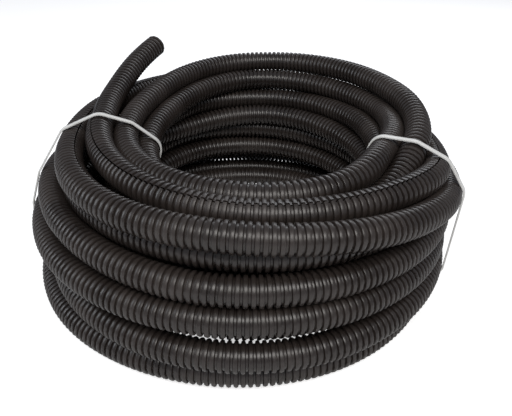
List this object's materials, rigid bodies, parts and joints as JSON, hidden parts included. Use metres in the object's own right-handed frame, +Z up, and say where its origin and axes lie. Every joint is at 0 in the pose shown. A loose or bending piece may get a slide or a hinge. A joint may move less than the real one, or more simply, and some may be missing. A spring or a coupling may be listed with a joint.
{
  "type": "corrugated conduit",
  "caption": "Coil of black slit corrugated conduit lying flat, held by two white cable ties, with one free end rising from its top.",
  "frame": {"origin": "on the coil's axis, at the floor that its lowest turns lie on", "axes": "+Z up along the coil's axis, -Y towards the front that the free end points away from, +X to the right"},
  "size_m": [0.268, 0.268, 0.1261],
  "materials": {
    "conduit": "semi-gloss moulded polypropylene, black",
    "tie": "natural white polyamide, satin"
  },
  "bodies": {
    "root": {"conduit_coil": "conduit", "conduit_free_end": "conduit", "tie_left": "tie", "tie_right": "tie"}
  },
  "joints": []
}
